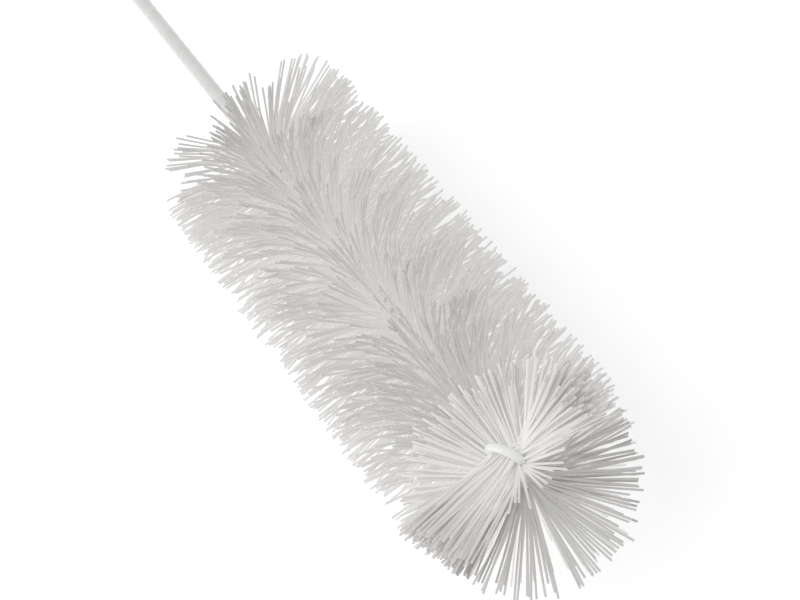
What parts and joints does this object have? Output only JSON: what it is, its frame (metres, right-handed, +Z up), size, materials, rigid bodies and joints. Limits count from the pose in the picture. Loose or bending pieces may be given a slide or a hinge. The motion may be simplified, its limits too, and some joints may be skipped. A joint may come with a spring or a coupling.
{
  "type": "bottle brush",
  "caption": "Twisted-wire bottle brush: a round bristle head on a long coated-wire stem, with its tip turned up into a small eyelet that is filled with bristles.",
  "frame": {"origin": "centre of the bounding box at its base, where the lowest bristles rest on the surface below", "axes": "+X along the core from the plain stem end towards the turned-up tip, +Z up, the way the tip is turned"},
  "size_m": [0.372, 0.0598, 0.0758],
  "materials": {
    "wire_coating": "smooth white plastic coating on twisted steel wire",
    "filament": "semi-gloss white nylon filament"
  },
  "bodies": {
    "root": {"coated_wire": "wire_coating", "bristle_turn_01": "filament", "bristle_turn_02": "filament", "bristle_turn_03": "filament", "bristle_turn_04": "filament", "bristle_turn_05": "filament", "bristle_turn_06": "filament", "bristle_turn_07": "filament", "bristle_turn_08": "filament", "bristle_turn_09": "filament", "bristle_turn_10": "filament", "bristle_turn_11": "filament", "bristle_turn_12": "filament", "bristle_turn_13": "filament", "bristle_turn_14": "filament", "bristle_turn_15": "filament", "bristle_turn_16": "filament", "bristle_turn_17": "filament", "bristle_turn_18": "filament", "bristle_turn_19": "filament", "bristle_turn_20": "filament", "eyelet_bristles": "filament"}
  },
  "joints": []
}
